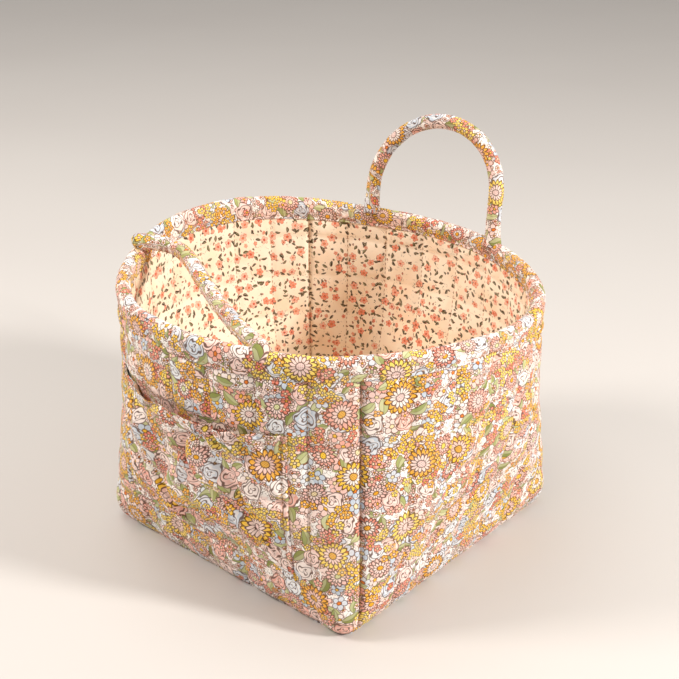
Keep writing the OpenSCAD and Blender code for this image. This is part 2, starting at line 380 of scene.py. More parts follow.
class Paint:
    """Colours built up in layers in a material's node tree."""

    def __init__(self, name):
        self.mat = bpy.data.materials.new(name)
        self.mat.use_nodes = True
        self.tree = self.mat.node_tree
        self.nodes = self.tree.nodes
        self.bsdf = self.nodes["Principled BSDF"]

    def link(self, item, slot):
        """Joins a number or an output to a node's input."""
        feed(self.tree, item, slot)

    def cloth(self):
        """Place on the flat cloth, in millimetres."""
        n = self.nodes.new("ShaderNodeAttribute")
        n.attribute_name = "cloth"
        split = self.nodes.new("ShaderNodeSeparateXYZ")
        self.link(n.outputs["Vector"], split.inputs[0])
        return Val(self.tree, split.outputs[0]) * 1000, Val(self.tree, split.outputs[1]) * 1000

    def vector(self, x, y):
        n = self.nodes.new("ShaderNodeCombineXYZ")
        self.link(x, n.inputs[0])
        self.link(y, n.inputs[1])
        return n.outputs[0]

    def noise(self, x, y, size, detail=2.0):
        """Noise between 0 and 1 with features size millimetres across."""
        n = self.nodes.new("ShaderNodeTexNoise")
        n.noise_dimensions = "2D"
        self.link(self.vector(x, y), n.inputs["Vector"])
        n.inputs["Scale"].default_value = 1 / size
        n.inputs["Detail"].default_value = detail
        return Val(self.tree, n.outputs["Fac"])

    def cells(self, x, y, size, scatter):
        """Scattered spots: place from the nearest spot's middle and three random numbers of it."""
        n = self.nodes.new("ShaderNodeTexVoronoi")
        n.voronoi_dimensions = "2D"
        n.feature = "F1"
        n.inputs["Scale"].default_value = 1 / size
        n.inputs["Randomness"].default_value = scatter
        self.link(self.vector(x, y), n.inputs["Vector"])
        spot = self.nodes.new("ShaderNodeSeparateXYZ")
        self.link(n.outputs["Position"], spot.inputs[0])
        rnd = self.nodes.new("ShaderNodeSeparateColor")
        self.link(n.outputs["Color"], rnd.inputs[0])
        dx = x - Val(self.tree, spot.outputs[0])
        dy = y - Val(self.tree, spot.outputs[1])
        return dx, dy, [Val(self.tree, rnd.outputs[k]) for k in range(3)]

    def grain(self, scale, detail=2.0):
        """Noise through the piece's own space, scale features to the metre."""
        coords = self.nodes.new("ShaderNodeTexCoord")
        n = self.nodes.new("ShaderNodeTexNoise")
        n.inputs["Scale"].default_value = scale
        n.inputs["Detail"].default_value = detail
        self.link(coords.outputs["Object"], n.inputs["Vector"])
        return Val(self.tree, n.outputs["Fac"])

    def bump(self, height, distance, strength=1.0):
        """Relief too fine for the mesh."""
        n = self.nodes.new("ShaderNodeBump")
        n.inputs["Strength"].default_value = strength
        n.inputs["Distance"].default_value = distance
        self.link(height, n.inputs["Height"])
        self.link(n.outputs[0], self.bsdf.inputs["Normal"])

    def finished(self, base, **settings):
        """The material, with its colour joined on and the shader's other sockets set."""
        self.link(base, self.bsdf.inputs["Base Color"])
        for name, value in settings.items():
            self.bsdf.inputs[name.replace("_", " ")].default_value = value
        return self.mat

    def mix(self, under, over, amount):
        """under, covered by over as far as amount goes."""
        n = self.nodes.new("ShaderNodeMix")
        n.data_type = "RGBA"
        a, b = [slot for slot in n.inputs if slot.type == "RGBA"][:2]
        for slot, item in ((a, under), (b, over), (n.inputs["Factor"], amount)):
            self.link(item, slot)
        return [s for s in n.outputs if s.type == "RGBA"][0]

    def palette(self, pick, hexes):
        """One of the colours, by a random number."""
        n = self.nodes.new("ShaderNodeValToRGB")
        ramp = n.color_ramp
        ramp.interpolation = "CONSTANT"
        while len(ramp.elements) < len(hexes):
            ramp.elements.new(0.5)
        for k, h in enumerate(hexes):
            ramp.elements[k].position = k / len(hexes)
            ramp.elements[k].color = colour(h)
        self.link(pick, n.inputs[0])
        return n.outputs[0]


def turned(x, y, turns):
    """x and y turned about their zero by a number of whole turns."""
    a = turns * TAU
    c, s = a.cos(), a.sin()
    return x * c - y * s, x * s + y * c


# The prints are drawn in millimetres: the colour of their outlines, and how soft an edge is
INK = "4c2615"
SOFT = 0.13


def petals(paint, base, spot, radius, count, hexes, ink, share, middle, long, wide, fade):
    """A ring of oval petals round a spot. middle, long and wide are shares of the radius: how far
    out a petal's middle is, its half length and its half width beside its neighbours."""
    dx, dy, rnd, pick = spot
    big = (rnd[1] * 0.3 + 0.82) * radius
    r = length(dx, dy) / big
    turn = dy.angle(dx) / TAU + rnd[0] * 3
    local = ((turn * count).fract() - 0.5) * TAU / count
    across = math.sin(math.pi / count) * middle * wide
    px = (r * local.cos() - middle) / long
    py = (r * local.sin()) / across
    e = length(px, py)
    soft = SOFT / radius / across * 0.6
    body = e.inside(1, soft)
    rim = (e - 1).line(ink / radius / across * 0.5, soft)
    face = paint.mix(paint.palette(pick, hexes), colour("fdf0e2"), r.step(1.05, 0.2) * fade)
    rib = local.line(0.035, 0.03) * r.inside(middle, 0.2)
    face = paint.mix(face, colour(INK), rim.high(rib * 0.35) * 0.92)
    return paint.mix(base, face, body.high(rim) * share)


def heart(paint, base, spot, radius, size, hexes, ink, share, dots=True):
    """The round middle of a flower."""
    dx, dy, rnd, pick = spot
    big = (rnd[1] * 0.3 + 0.82) * radius
    r = length(dx, dy)
    body = r.inside(big * size, SOFT)
    ring = (r - big * size).line(ink * 0.5, SOFT)
    face = paint.palette(rnd[2], hexes)
    if dots:
        speck = ((dx * 4.2).sin() * (dy * 4.2).sin()).step(0.3, 0.55)
        face = paint.mix(face, colour(INK), speck * 0.5)
    face = paint.mix(face, colour(INK), ring * 0.95)
    return paint.mix(base, face, body.high(ring) * share)


def spots(paint, x, y, size, scatter):
    """Scattered spots, with a slow choice of colour so that like flowers stand together."""
    dx, dy, rnd = paint.cells(x, y, size, scatter)
    slow = paint.noise(x - dx + 3, y - dy + 7, 28, 1).step(0.32, 0.68)
    pick = (slow * 0.72 + rnd[0] * 0.28).low(0.999)
    return dx, dy, rnd, pick


def small_flowers(paint, base, x, y, size, radius, hexes, hearts, keep, ink=0.42, patch=None):
    """Five-petal flowers. patch is (size, edge) of the patches of cloth they keep to."""
    spot = spots(paint, x, y, size, 0.7)
    share = spot[2][1].inside(keep, 0.001)
    if patch:
        ground = paint.noise(x - spot[0], y - spot[1], patch[0], 1)
        share = share * ground.step(patch[1], patch[1] + 0.01)
    base = petals(paint, base, spot, radius, 5, hexes, ink, share, 0.62, 0.4, 1.02, fade=0.15)
    return heart(paint, base, spot, radius, 0.27, hearts, ink, share, dots=False)


def blooms(paint, base, x, y, size, radius, count, hexes, inner, hearts, keep, ink=0.45):
    """Big flowers with two rings of narrow petals."""
    spot = spots(paint, x, y, size, 0.65)
    share = spot[2][1].inside(keep, 0.001)
    base = petals(paint, base, spot, radius, count, hexes, ink, share, 0.72, 0.32, 1.0, fade=0.3)
    base = petals(paint, base, spot, radius * 0.66, count - 3, inner, ink, share, 0.68, 0.36, 1.0,
                  fade=0.5)
    return heart(paint, base, spot, radius, 0.26, hearts, ink, share)


def rose(paint, base, x, y, size, radius, hexes, keep, ink=0.46):
    """A layer of roses: wavy rings of petals wound round a heart."""
    dx, dy, rnd, pick = spots(paint, x, y, size, 0.7)
    big = (rnd[1] * 0.3 + 0.82) * radius
    r = length(dx, dy)
    a = dy.angle(dx)
    lobes = (a * 2.5 + rnd[0] * 20).sin().abs()
    tip = big * (lobes * 0.2 + 0.82)
    body = r.inside(tip, SOFT)
    wave = (r / big) * 2.7 + (a * 3 + r * 1.1 + rnd[2] * 9).sin() * 0.3 + a / TAU
    edge = (wave.fract() - 0.5).abs()
    fold = edge.inside(ink * 0.3, 0.05)
    face = paint.mix(paint.palette(pick, hexes), colour("fff4ec"), wave.fract() * 0.55)
    rim = (r - tip).line(ink * 0.55, SOFT)
    face = paint.mix(face, colour(INK), rim.high(fold) * 0.88)
    share = rnd[1].inside(keep, 0.001)
    return paint.mix(base, face, body.high(rim) * share)


def leaf(paint, base, x, y, size, long, wide, hexes, keep, ink=0.38):
    """A layer of pointed leaves with a mid rib."""
    dx, dy, rnd = paint.cells(x, y, size, 0.9)
    lx, ly = turned(dx, dy, rnd[2])
    t = lx / (long / 2)
    ly = ly + (t * t - 0.5) * (rnd[0] - 0.5) * wide * 0.8
    width = (1 - t * t).high(0) * (wide / 2)
    gap = ly.abs() - width
    within = t.abs().inside(1.0, 0.02)
    body = gap.inside(0, SOFT) * within
    rim = gap.line(ink * 0.5, SOFT) * within
    rib = ly.line(ink * 0.35, SOFT) * body
    green = paint.palette(rnd[0], hexes)
    face = paint.mix(green, colour("eee8c4"), (ly / wide + 0.5).step(0.42, 0.58) * 0.35)
    face = paint.mix(face, colour(INK), rim.high(rib * 0.7) * 0.9)
    share = rnd[1].inside(keep, 0.001)
    return paint.mix(base, face, body.high(rim) * share)


def finish_cotton(paint, base, x, y, wear=0.1):
    """Colour, weave and soft wear of printed cotton."""
    tone = paint.noise(x, y, 40, 3)
    base = paint.mix(base, colour("d9b391"), (tone.step(0.35, 0.75)) * wear)
    thread = 0.42
    pitch = TAU / thread
    weave = (x * pitch).sin() * (y * pitch).sin()
    slub = paint.noise(x, y * 0.25, 1.1, 2)
    soft = paint.noise(x, y, 3.5, 3)
    paint.bump(weave * 0.06 + slub * 0.12 + soft * 0.5, 0.5 * MM, 0.5)
    return paint.finished(base, Roughness=0.86, Specular_IOR_Level=0.25, Sheen_Weight=0.08,
                          Sheen_Roughness=0.5)


GOLD = ["ffcb33", "fab32c", "ffdd60"]
CORAL = ["f0907a", "f8b19f", "e97f66"]
BLUSH = ["f9c9bd", "fcdfd6", "fff0e9", "fad4ca"]
FROST = ["c5d2e0", "e6ebf0", "d6dbe4"]
SAGE = ["a7ab69", "878f49", "c2c68d", "9aa463"]


def drawn_place(paint, size, far):
    """Place on the flat cloth, drifting a little so that what is drawn there isn't exact."""
    x, y = paint.cloth()
    x = x + (paint.noise(x + 31, y - 17, size, 1) - 0.5) * far
    y = y + (paint.noise(x, y + 77, size, 1) - 0.5) * far
    return x, y


def outer_print():
    """Dense florals on cream and blush: from the ground up, leaves, small and big flowers."""
    paint = Paint("outer_print")
    x, y = drawn_place(paint, 9, 2.4)
    base = paint.mix(colour("fffaf4"), colour("fce3da"), paint.noise(x, y, 7, 2).step(0.5, 0.58))
    scribble = (paint.noise(x, y, 3.2, 2) * 11).sin().line(0.22, 0.12)
    base = paint.mix(base, colour(INK), scribble * 0.75)
    base = leaf(paint, base, x + 5, y + 9, 9.5, 9.5, 4.4, SAGE, 0.7)
    base = small_flowers(paint, base, x + 40, y + 3, 4.1, 2.0, BLUSH[:2] + BLUSH + CORAL[1:2],
                         ["fbe7c2", "f2b23c", "e5812f"], 0.75)
    base = small_flowers(paint, base, x + 8, y + 51, 9.4, 4.7, BLUSH[:2] + FROST + BLUSH + CORAL[1:2],
                         ["f5bd38", "e77f2d", "f6e0b0"], 0.62)
    base = leaf(paint, base, x - 22, y + 2, 15.5, 11.5, 5.2, SAGE, 0.6)
    base = rose(paint, base, x - 13, y + 29, 16, 6.8, BLUSH[:1] + FROST + BLUSH[1:] + CORAL[1:2], 0.72)
    base = blooms(paint, base, x - 31, y + 13, 25, 6.8, 15, CORAL[1:2] + BLUSH[:1] + CORAL[:2],
                  BLUSH, GOLD + ["f6e0b0", "dfe0a8"], 0.6)
    base = small_flowers(paint, base, x - 7, y - 33, 5.0, 2.6, GOLD, ["fbe7c2", "f7ded2"], 0.9,
                         patch=(19, 0.56))
    base = small_flowers(paint, base, x + 60, y - 90, 5.6, 2.8, CORAL, ["fbe7c2", "f5bd38"], 0.9,
                         patch=(17, 0.64))
    base = blooms(paint, base, x + 3, y - 11, 41, 9.2, 17, GOLD + GOLD + CORAL[1:2], BLUSH,
                  ["f2d3cb", "e9b04c"], 0.62)
    return finish_cotton(paint, base, x, y)


def lining_print():
    """Scattered coral blossoms and sprigs of leaves on peach cream."""
    paint = Paint("lining_print")
    x, y = drawn_place(paint, 6, 1.6)
    base = paint.mix(colour("fff0da"), colour("fde6ca"), paint.noise(x, y, 25, 2).step(0.4, 0.7))
    twig = (paint.noise(x + 3, y, 5.5, 1.5) * 8).sin().line(0.09, 0.06)
    broken = paint.noise(x, y, 2.6, 1).step(0.53, 0.57)
    base = paint.mix(base, colour("463f22"), twig * broken * 0.9)
    greens = ["45431f", "65663a", "2a2813"]
    base = leaf(paint, base, x + 9, y + 4, 4.2, 2.2, 1.0, greens + ["de7a5c", "cf6c50"], 0.32)
    base = leaf(paint, base, x + 2, y - 7, 6.2, 4.3, 1.6, greens, 0.5)
    base = leaf(paint, base, x - 5, y + 3, 7.6, 3.6, 1.4, greens, 0.5)
    base = small_flowers(paint, base, x + 6, y + 2, 7.2, 1.7, ["f4a283", "f08a68"],
                         ["e0704f", "f6c39c"], 0.3, ink=0.12)
    base = small_flowers(paint, base, x - 3, y + 8, 11.6, 3.1, ["f6a98b", "f8bca2", "f0906e"],
                         ["e2643f", "d9573a", "ea7f52"], 0.66, ink=0.14)
    return finish_cotton(paint, base, x, y, wear=0.03)


def thread_stuff():
    """Twisted brown sewing thread."""
    paint = Paint("thread")
    x, y = paint.cloth()
    twist = (x * 9 + y * 3).sin() * 0.5 + 0.5
    base = paint.mix(colour("8a5a38"), colour("b98a5f"), twist)
    return paint.finished(base, Roughness=0.7)


def fluff(name, low, high):
    """Soft loose fibre, for the wadding and the rope."""
    paint = Paint(name)
    grain = paint.grain(700, 6)
    paint.bump(grain, 0.6 * MM)
    return paint.finished(paint.mix(colour(low), colour(high), grain), Roughness=0.95,
                          Sheen_Weight=0.4)


MATERIALS = {
    "outer_print": outer_print(),
    "lining_print": lining_print(),
    "thread": thread_stuff(),
    "wadding": fluff("wadding", "e6e2d6", "fbf9f2"),
    "rope": fluff("rope", "d9cfb8", "f2ebd8"),
}


def dress(obj, slot, *nodes, body="basket"):
    """Gives a piece its material and the body it rides on, and hides the CAD nodes it stands for."""
    obj.data.materials.clear()
    obj.data.materials.append(MATERIALS[slot])
    if body:
        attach(obj, body)
    if nodes:
        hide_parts(*nodes)
    return obj


# ------------ quilted walls
SEAM_U = -1 / 8 + SEAM_SHIFT / WALL_LEN
POCKET_HALF = 70 * MM
POCKET_TOP = pocket_hi.z
POCKET_LOW = pocket_lo.z
POCKET_H = POCKET_TOP - POCKET_LOW


def in_pocket(u, z, soft=4 * MM):
    """1 behind the pocket, 0 away from it."""
    turn = (u + 0.5) % 1 - 0.5
    s = np.abs(turn) * WALL_LEN
    side = np.clip((POCKET_HALF - s) / soft + 0.5, 0, 1)
    up = np.clip((POCKET_TOP - z) / soft + 0.5, 0, 1)
    down = np.clip((z - POCKET_LOW) / soft + 0.5, 0, 1)
    return side * up * down


def pillow(t):
    """A plump profile between two stitched lines, 0 at both and 1 between them."""
    return np.clip(4 * t * (1 - t), 0, 1) ** 0.45


def puff(u, z, height, seed):
    """Height of the quilted cloth over its stitched lines, metres."""
    col = (u - SEAM_U) * COLUMNS
    tu = col - np.floor(col)
    lines = np.array(ROW_LINES)
    k = np.clip(np.searchsorted(lines, z, side="right") - 1, 0, len(lines) - 2)
    row_height = lines[k + 1] - lines[k]
    tz = np.clip((z - lines[k]) / row_height, 0, 1)
    tall = 0.8 + 0.4 * lattice(np.floor(col), k, seed)
    plump = pillow(tu) * pillow(tz)
    near_u = np.minimum(tu, 1 - tu) * WALL_LEN / COLUMNS
    near_z = np.minimum(tz, 1 - tz) * row_height
    s = u * WALL_LEN
    pucker_u = np.exp(-near_u / 2.6e-3) * noise(z / 2.7e-3, s / 9e-3, seed + 5)
    pucker_z = np.exp(-near_z / 2.6e-3) * noise(s / 2.7e-3, z / 9e-3, seed + 6)
    folds = crumple(s / 9e-3 + 0.6 * z / 9e-3, z / 13e-3, seed + 9)
    puckers = 0.22 * MM * (pucker_u + pucker_z)
    return height * plump * tall + puckers + 0.3 * MM * folds * np.sqrt(plump)


def outer_lift(u, z):
    """Height of the outer cloth over the wall's true shape."""
    flat = 1 - 0.75 * in_pocket(u, z)
    return puff(u, z, PUFF_OUTSIDE, 1) * flat - CHANNEL_DEEP


def lining_inset(u, z):
    """Depth of the lining under the wall's true shape."""
    return WALL_T - 0.3 * MM + puff(u, z, PUFF_INSIDE, 2)


def side_grid(side):
    """Places on one side's panel, from seam to seam and foot to top."""
    lo = side / 4 + SEAM_U
    per_square = 15
    steps = COLUMNS // 4 * per_square
    u = lo + np.linspace(0, 1 / 4, steps + 1)
    z = np.linspace(WALL_FOOT, WALL_TOP, 94)
    return np.meshgrid(u, z)


def edge_roll(u, side):
    """How deep the cloth turns in at the upright seams."""
    lo = side / 4 + SEAM_U
    gap = np.minimum(u - lo, lo + 1 / 4 - u) * WALL_LEN
    return 1.5 * MM * np.exp(-(gap / 1.1e-3) ** 2)


def foot_roll(z):
    """How deep the cloth turns in at its lower edge."""
    return 0.6 * MM * np.exp(-((z - WALL_FOOT) / 2e-3) ** 2)


def lowest_near(field, reach=4):
    """The lowest value within a few grid steps of each place."""
    padded = np.pad(field, reach, mode="edge")
    rows, cols = field.shape
    steps = range(2 * reach + 1)
    return np.min([padded[j:j + rows, i:i + cols] for j in steps for i in steps], axis=0)


PAD_GAP = 0.75 * MM
for index, side in enumerate(SIDES):
    u, z = side_grid(index)
    cloth = np.stack([u * WALL_LEN, z], -1)
    lift = outer_lift(u, z) - edge_roll(u, index) - foot_roll(z)
    top = wall_surface(u, z, lift)
    under = wall_surface(u, z, lift - CLOTH_T)
    name = "outer_" + side
    outer = dress(slab(name + "_cloth", top, under, cloth), "outer_print", name)

    depth = lining_inset(u, z) - edge_roll(u, index) * 0.8
    top = wall_surface(u, z, -depth)[:, ::-1]
    under = wall_surface(u, z, -depth + CLOTH_T)[:, ::-1]
    name = "lining_" + side
    lining = dress(slab(name + "_cloth", top, under, cloth[:, ::-1]), "lining_print", name)

    few = (slice(None, None, 3), slice(None, None, 3))
    outside = wall_surface(u, z, lowest_near(lift) - PAD_GAP)[few]
    inside = wall_surface(u, z, -lowest_near(depth) + PAD_GAP)[few]
    name = "wadding_" + side
    pad = dress(slab(name + "_pad", outside, inside, cloth[few]), "wadding", name)


# ------------ base
def base_grid(half, corner, steps):
    """A square grid with its four corners drawn in to a radius."""
    t = np.linspace(-half, half, steps)
    x, y = np.meshgrid(t, t)
    flat = half - corner
    ox, oy = np.maximum(np.abs(x) - flat, 0), np.maximum(np.abs(y) - flat, 0)
    far = np.hypot(ox, oy)
    pull = np.where((ox > 0) & (oy > 0) & (far > corner), corner / np.maximum(far, 1e-9), 1)
    x = np.sign(x) * (np.minimum(np.abs(x), flat) + ox * pull)
    y = np.sign(y) * (np.minimum(np.abs(y), flat) + oy * pull)
    return x, y


def base_piece(node, ending, slot, lower=0, higher=0, wider=0, corner=CORNER_R, puffs=0, steps=68):
    """A layer of the base, whose underside, top and edges stand off the CAD box a little."""
    lowest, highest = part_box(node)
    half = highest[0] + wider
    x, y = base_grid(half, corner, steps)
    plump = pillow((x / ROW + 0.5) % 1) * pillow((y / ROW + 0.5) % 1)
    edge = np.clip((half - np.maximum(np.abs(x), np.abs(y))) / 6e-3, 0, 1)
    relief = (puffs * plump + 0.2 * MM * crumple(x / 0.011, y / 0.011, 8)) * edge
    top = np.stack([x, y, highest[2] + higher + relief], -1)
    under = np.stack([x, y, np.full_like(x, lowest[2] + lower)], -1)
    cloth = np.stack([x + 1.3, y + 0.7], -1)
    return dress(slab(node + ending, top, under, cloth), slot, node)


base_outer = base_piece("base_outer", "_cloth", "outer_print", wider=-0.5 * MM)
base_pad = base_piece("base_wadding", "_pad", "wadding", higher=-0.4 * MM, corner=3 * MM,
                      puffs=1.2 * MM)
base_floor = base_piece("base_lining", "_cloth", "lining_print", lower=-0.3 * MM, wider=1 * MM,
                        corner=3 * MM, puffs=1.6 * MM, steps=130)


# ------------ rim binding
def binding_half(z):
    """Half the folded binding's thickness at a height: full, and pinched where it is stitched."""
    full = (z - BINDING_STITCH) / (RIM_TOP - RIM_HALF - BINDING_STITCH + 6e-3)
    swell = 0.7 * MM * math.sin(math.pi * min(max(full, 0), 1))
    pinch = 0.55 * MM * math.exp(-((z - BINDING_STITCH) / 1e-3) ** 2)
    return RIM_HALF + swell - pinch


def binding_profile(count):
    """Points round the folded cloth's section: across the wall and up, outer face first."""
    side = [(binding_half(z), z) for z in np.linspace(BINDING_LOW, RIM_TOP - RIM_HALF, count)]
    arc = [(RIM_HALF * math.cos(a), RIM_TOP - RIM_HALF + RIM_HALF * math.sin(a))
           for a in np.linspace(0, math.pi, 15)[1:-1]]
    mirrored = [(-x, z) for x, z in side[::-1]]
    return np.array(side + arc + mirrored)


def binding():
    """The strip of outer print folded over the rim."""
    profile = binding_profile(12)
    turns = np.linspace(0, 1, 721)
    lengths = length_along(profile)
    u = turns[:, None]
    across, up = profile[:, 0][None, :], profile[:, 1][None, :]
    s = u * WALL_LEN
    run = lengths[None, :]
    low_edge = np.minimum(run, lengths[-1] - run)
    ripple = noise((s + 0.7 * run) / 5.5e-3, run / 9e-3, 21) * np.exp(-np.abs(low_edge - 3e-3) / 5e-3)
    folds = crumple((s + run) / 12e-3, run / 9e-3, 22)
    grow = 0.35 * MM * ripple + 0.22 * MM * folds
    direction = unit(wall_frame(np.broadcast_to(u, (len(turns), len(profile))), WALL_TOP)[1])
    centre_r = RIM_MID + sway(u, WALL_TOP)
    reach = centre_r + across * (1 + grow / RIM_HALF)
    wave = 0.8 * MM * np.sin(TAU * 3 * u + 0.8) + 0.6 * MM * noise(u * 19, 0 * u, 23)
    height = up + wave * np.clip((up - BINDING_LOW) / 0.014, 0, 1)
    height = height + grow * (up > RIM_TOP - RIM_HALF) + rim_rise(u) * share_of_rise(up)
    top = direction * reach[..., None]
    top[..., 2] = height
    inner_reach = centre_r + across * (1 - 0.9 * MM / RIM_HALF)
    under = direction * inner_reach[..., None]
    arch = np.clip((up - RIM_TOP + RIM_HALF) / RIM_HALF, 0, 1)
    under[..., 2] = height - 0.9 * MM * arch
    cloth = np.stack(np.broadcast_arrays(0.9 + 0.7 * (s + run), 0.4 + 0.7 * (run - s)), -1)
    obj = slab("rim_binding_cloth", top.swapaxes(0, 1)[::-1], under.swapaxes(0, 1)[::-1],
               np.ascontiguousarray(cloth.swapaxes(0, 1)[::-1]))
    weld(obj, 2e-5)
    clean(obj)
    return obj


rim_cloth = dress(binding(), "outer_print", "rim_binding")


# ------------ stitches
def at_distance(values, dist, place):
    """The value at some distance along a path, between its points."""
    return np.array([np.interp(place, dist, values[:, k]) for k in range(3)])


def stitches(name, runs, pitch=3.4 * MM, share=0.74, radius=0.22 * MM, sides=4):
    """Short raised stitches along runs of (points, outward directions)."""
    # along the stitch, its thickness and its height, as shares of its length and radius
    shape = ((-0.5, 0.0, -1.6), (-0.36, 1.0, -0.2), (0.0, 1.15, 0.5), (0.36, 1.0, -0.2),
             (0.5, 0.0, -1.6))
    verts, faces, coords = [], [], []
    for path, out in runs:
        path = np.asarray(path)
        dist = length_along(path)
        count = max(int(dist[-1] / pitch), 1)
        mids = (np.arange(count) + 0.5) * dist[-1] / count
        for m in mids:
            ends = [at_distance(path, dist, m + e * pitch * share) for e in (-0.5, 0.5)]
            n = unit(at_distance(out, dist, m))
            along = unit(ends[1] - ends[0])
            over = np.cross(n, along)
            mid = (ends[0] + ends[1]) / 2
            start = len(verts)
            for t, fat, rise in shape:
                centre = mid + along * t * pitch * share + n * rise * radius
                for k in range(sides):
                    a = TAU * k / sides
                    verts.append(centre + radius * fat * (math.cos(a) * n + math.sin(a) * over))
                    coords.append((m, a * radius))
            for j in range(len(shape) - 1):
                for k in range(sides):
                    a = start + j * sides + k
                    b = start + j * sides + (k + 1) % sides
                    faces.append((a, a + sides, b + sides, b))
    obj = new_object(name, np.array(verts), faces, np.array(coords))
    weld(obj)
    return obj


THREAD_LIFT = 0.05 * MM


def quilt_run(u, z, inside):
    """A line of quilting on the lining, or on the outer cloth where no pocket covers it."""
    u, z = np.broadcast_arrays(u, z)
    out = wall_frame(u, z)[1]
    if inside:
        return [(wall_surface(u, z, -lining_inset(u, z) - THREAD_LIFT), -out)]
    place = wall_surface(u, z, outer_lift(u, z) + THREAD_LIFT)
    shown = in_pocket(u, z) < 0.5
    breaks = np.where(np.diff(shown.astype(int)))[0] + 1
    parts = np.split(np.arange(len(u)), breaks)
    return [(place[part], out[part]) for part in parts if shown[part[0]] and len(part) > 3]


def quilt_runs(inside):
    """All quilting lines of one face of the walls: upright first, then the rows."""
    runs = []
    for k in range(COLUMNS):
        runs += quilt_run(SEAM_U + k / COLUMNS, np.linspace(4 * MM, ROW_LINES[-1], 60), inside)
    for z in ROW_LINES[1:-1]:
        runs += quilt_run(SEAM_U + np.linspace(0, 1, 1200), z, inside)
    return runs


dress(stitches("outer_quilting_stitches", quilt_runs(False)), "thread")
dress(stitches("lining_quilting_stitches", quilt_runs(True)), "thread")


# ------------ patch pocket
POCKET_STITCH = 3.2 * MM


def pocket_lift(s, z):
    """Height of the pocket's cloth over the wall: a bag with folds that run down to the right."""
    across = s / POCKET_HALF
    up = (z - POCKET_LOW) / POCKET_H
    edge_s = np.clip((1 - np.abs(across)) * POCKET_HALF / 10e-3, 0, 1)
    edge_low = np.clip(up * POCKET_H / 11e-3, 0, 1)
    free = np.minimum(edge_s, edge_low) ** 0.7
    top_hold = 1 - 0.35 * np.exp(-((1 - up) * POCKET_H / 9e-3) ** 2)
    bag = 8.5 * MM * (1 - across ** 2) * np.clip(4 * up, 0, 1) * (1 - 0.25 * up)
    along, over = (s - 1.05 * z) / math.sqrt(2), (s + 0.95 * z) / math.sqrt(2)
    bend = 5e-3 * noise(along / 0.03, over / 0.03, 31)
    big = creases(along / 0.055, (over + bend) / 0.016, 32)
    fine = creases(along / 0.03, (over + bend) / 0.0085, 33)
    swell = crumple(along / 0.04, (over + bend) / 0.02, 35)
    dents = noise(s / 0.024, z / 0.021, 34)
    folds = (8.0 * big + 4.6 * fine + 2.2 * swell + 1.8 * dents) * MM
    return np.maximum(1.7 * MM + bag + folds * free * top_hold, 1.5 * MM)


def pocket_top_dip(s, z):
    """The mouth's edge hangs a little between its two sewn ends."""
    up = np.clip((z - POCKET_LOW) / POCKET_H, 0, 1)
    return -MM * up ** 3 * (2.2 * (1 - (s / POCKET_HALF) ** 2) + 1.0 * noise(s / 0.03, 0 * s, 36))


def pocket_place(s, z, above):
    """Points above the quilted wall, in front of which the pocket hangs."""
    wall = np.maximum(outer_lift(s / WALL_LEN, z), 0)
    return wall_surface(s / WALL_LEN, z + pocket_top_dip(s, z), wall + above)


s, z = np.meshgrid(np.linspace(-POCKET_HALF, POCKET_HALF, 185),
                   np.linspace(POCKET_LOW, POCKET_TOP, 129))
rise = pocket_lift(s, z)
edge_gap = np.minimum(POCKET_HALF - np.abs(s), z - POCKET_LOW)
groove = 0.9 * MM * np.exp(-((edge_gap - POCKET_STITCH) / 1.1e-3) ** 2)
turn_in = 0.5 * MM * np.exp(-(edge_gap / 0.7e-3) ** 2)
mouth = 0.3 * MM * np.exp(-((POCKET_TOP - z) / 1.0e-3) ** 2)
hem_depth = 1.3 * MM * np.clip(1 - edge_gap / 4.5e-3, 0, 1)
cloth = np.stack([s + 0.317, z + 0.041], -1)
pocket_cloth = slab("pocket_front_cloth", pocket_place(s, z, rise - groove - turn_in - mouth),
                    pocket_place(s, z, rise - CLOTH_T - np.maximum(groove, hem_depth)), cloth)
dress(pocket_cloth, "outer_print", "pocket_front")
inner = (slice(4, -1), slice(6, -6))
under = rise - np.maximum(groove, hem_depth * 0.5)
pocket_back = slab("pocket_lining_cloth", pocket_place(s, z, under - 0.65 * MM)[inner],
                   pocket_place(s, z, under - 1.0 * MM)[inner], cloth[inner])
dress(pocket_back, "lining_print", "pocket_lining")


def pocket_run(s, z, above):
    """A line of stitches on the pocket, above its unstitched cloth."""
    return pocket_place(s, z, pocket_lift(s, z) + above), wall_frame(s / WALL_LEN, z)[1]


def pocket_seam():
    """The stitched line down one side, along the foot and up the other side."""
    half = POCKET_HALF - POCKET_STITCH
    low = POCKET_LOW + POCKET_STITCH
    down = np.linspace(POCKET_TOP - 1.5 * MM, low, 60)
    over = np.linspace(-half, half, 90)[1:-1]
    line_s = np.concatenate([np.full(60, -half), over, np.full(60, half)])
    line_z = np.concatenate([down, np.full(88, low), down[::-1]])
    return pocket_run(line_s, line_z, -0.78 * MM)


mouth_s = np.linspace(-POCKET_HALF + 2e-3, POCKET_HALF - 2e-3, 120)
mouth_z = np.full(120, POCKET_TOP - 6 * MM)
pocket_runs = [pocket_seam(), pocket_run(mouth_s, mouth_z, 0.12 * MM)]
dress(stitches("pocket_stitches", pocket_runs, pitch=3.0 * MM), "thread", "pocket_thread")


# ------------ binding stitches and bar tacks
def binding_line(u, z, inside):
    """A line of stitches on the binding at height z, on its outer or its inner face."""
    out = wall_frame(u, WALL_TOP + 0 * u)[1]
    across = binding_half(z) + 0.1 * MM
    reach = RIM_MID + sway(u, WALL_TOP) + (-across if inside else across)
    place = unit(out) * reach[:, None]
    place[:, 2] = z + rim_rise(u) * share_of_rise(z)
    return place, (-out if inside else out)


